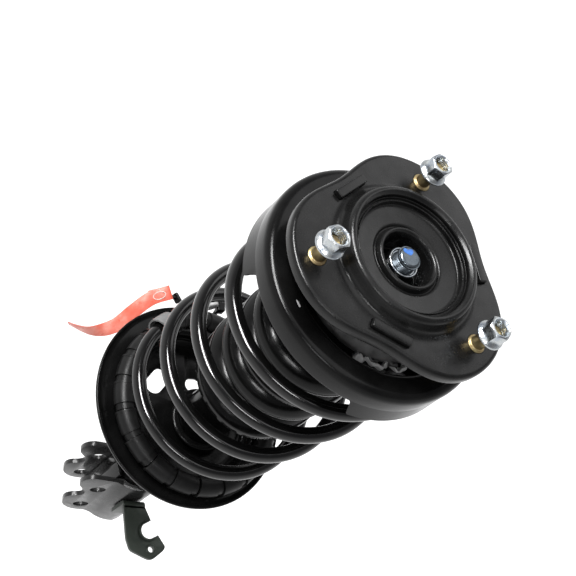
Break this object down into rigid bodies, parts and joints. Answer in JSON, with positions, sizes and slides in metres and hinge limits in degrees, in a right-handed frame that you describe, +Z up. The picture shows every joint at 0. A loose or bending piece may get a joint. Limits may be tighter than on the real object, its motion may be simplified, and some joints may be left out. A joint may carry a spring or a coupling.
{
  "type": "suspension strut assembly",
  "caption": "Front suspension strut with coil spring, ribbed dust boot, three-stud top mount with steering bearing, offset spring seats and a forked knuckle bracket.",
  "frame": {"origin": "on the rod's axis, in the plane of the mount plate's upper face, which bolts to the body tower", "axes": "+Z up along the rod's axis, +X the way the knuckle bracket points, Y along the knuckle bolts"},
  "size_m": [0.2034, 0.1884, 0.5634],
  "materials": {
    "satin_black": "satin",
    "gloss_black": "gloss",
    "spring_coat": "gloss",
    "olive_paint": "satin",
    "rubber": "matte",
    "boot_plastic": "gloss",
    "sleeve_plastic": "satin",
    "foam": "matte",
    "zinc": "bright zinc",
    "gold_zinc": "yellow zinc",
    "bright_steel": "polished",
    "grey_metal": "sintered",
    "grey_plastic": "matte",
    "red_film": "thin translucent film"
  },
  "bodies": {
    "top_mount": {"mount_top_plate": "satin_black", "mount_lower_plate": "gloss_black", "mount_rubber": "rubber", "bearing_outer_race": "bright_steel", "stud_1": "gold_zinc", "stud_2": "gold_zinc", "stud_3": "gold_zinc"},
    "rod_and_seat": {"bearing_inner_race": "bright_steel", "piston_rod": "bright_steel", "rod_nut": "zinc", "rod_washer": "zinc", "seat_spacer": "grey_metal", "bearing_dust_seal": "grey_plastic", "upper_spring_seat": "gloss_black", "upper_spring_insulator": "rubber", "coil_spring": "spring_coat", "dust_boot": "boot_plastic", "bump_stop": "foam", "rebound_stop": "grey_metal", "damper_piston": "grey_metal"},
    "ball_cage": {"bearing_ball_cage": "bright_steel"},
    "strut_body": {"damper_tube": "gloss_black", "gland_cap": "bright_steel", "rod_guide": "grey_metal", "pressure_tube": "bright_steel", "base_valve": "grey_metal", "base_cap": "gloss_black", "lower_spring_seat": "gloss_black", "spring_sleeve_1": "sleeve_plastic", "spring_sleeve_2": "sleeve_plastic", "spring_sleeve_3": "sleeve_plastic", "spring_sleeve_4": "sleeve_plastic", "spring_sleeve_5": "sleeve_plastic", "spring_sleeve_6": "sleeve_plastic", "spring_sleeve_7": "sleeve_plastic", "spring_sleeve_8": "sleeve_plastic", "spring_sleeve_9": "sleeve_plastic", "spring_sleeve_10": "sleeve_plastic", "knuckle_bracket": "gloss_black", "bracket_channel": "gloss_black", "hose_bracket": "olive_paint", "tag_strip": "red_film"},
    "nut_1": {"stud_nut_1": "zinc"},
    "nut_2": {"stud_nut_2": "zinc"},
    "nut_3": {"stud_nut_3": "zinc"}
  },
  "joints": [
    {"name": "bearing_swivel", "type": "hinge", "parent": "top_mount", "child": "rod_and_seat", "pos_m": [0, 0, 0], "axis": [0, 0, 1], "continuous": true},
    {"name": "ball_cage_roll", "type": "hinge", "parent": "top_mount", "child": "ball_cage", "pos_m": [0, 0, 0], "axis": [0, 0, 1], "continuous": true},
    {"name": "strut_stroke", "type": "slide", "parent": "rod_and_seat", "child": "strut_body", "axis": [0, 0, 1], "range_m": [0, 0.12], "stiffness_N_per_m": 18000, "springref_m": -0.003, "deforming": ["coil_spring", "dust_boot"]},
    {"name": "stud_nut_1_run", "type": "slide", "parent": "top_mount", "child": "nut_1", "axis": [0, 0, 1], "range_m": [-0.0095, 0.004]},
    {"name": "stud_nut_2_run", "type": "slide", "parent": "top_mount", "child": "nut_2", "axis": [0, 0, 1], "range_m": [-0.0089, 0.0046]},
    {"name": "stud_nut_3_run", "type": "slide", "parent": "top_mount", "child": "nut_3", "axis": [0, 0, 1], "range_m": [-0.0079, 0.0056]}
  ],
  "couplings": [
    {"joint": "ball_cage_roll", "follows": "bearing_swivel", "ratio": 0.5}
  ]
}
